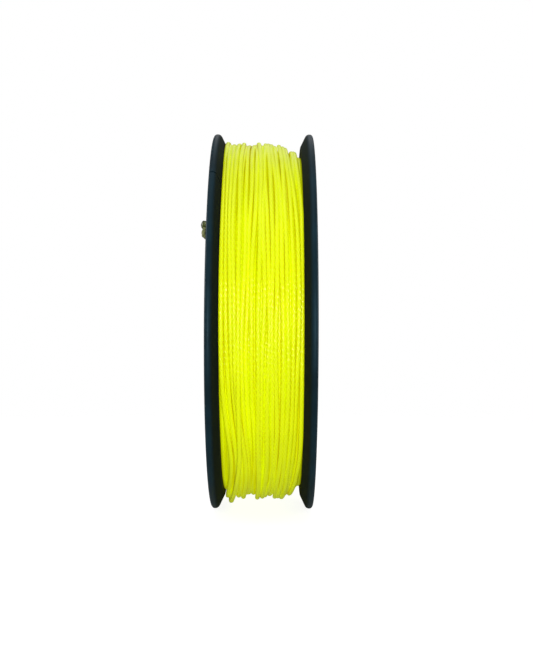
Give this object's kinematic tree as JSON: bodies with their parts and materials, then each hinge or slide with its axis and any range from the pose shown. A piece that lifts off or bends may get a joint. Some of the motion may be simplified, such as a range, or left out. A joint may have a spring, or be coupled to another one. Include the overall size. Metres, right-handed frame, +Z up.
{
  "type": "fishing line spool",
  "caption": "Flanged plastic spool wound full of braided fishing line, its free end held in a slit in the rim.",
  "frame": {"origin": "on the axis of the spindle bore, midway between the two flanges", "axes": "+X along the spool's axis towards the right flange, +Z up, -Y towards the side with the slit and the knot"},
  "size_m": [0.0191, 0.07, 0.07],
  "materials": {
    "moulded_plastic": "black injection-moulded polystyrene with a soft sheen",
    "label_paper": "plain coated paper, no print",
    "tape_film": "clear adhesive film",
    "braided_line": "tightly braided waxed fibre, fluorescent yellow"
  },
  "bodies": {
    "root": {"left_flange": "moulded_plastic", "right_flange": "moulded_plastic", "winding_barrel": "moulded_plastic", "arbor_tube": "moulded_plastic", "left_label": "label_paper", "right_label": "label_paper", "start_tape": "tape_film", "line_winding": "braided_line", "line_tail": "braided_line", "end_knot": "braided_line"}
  },
  "joints": []
}
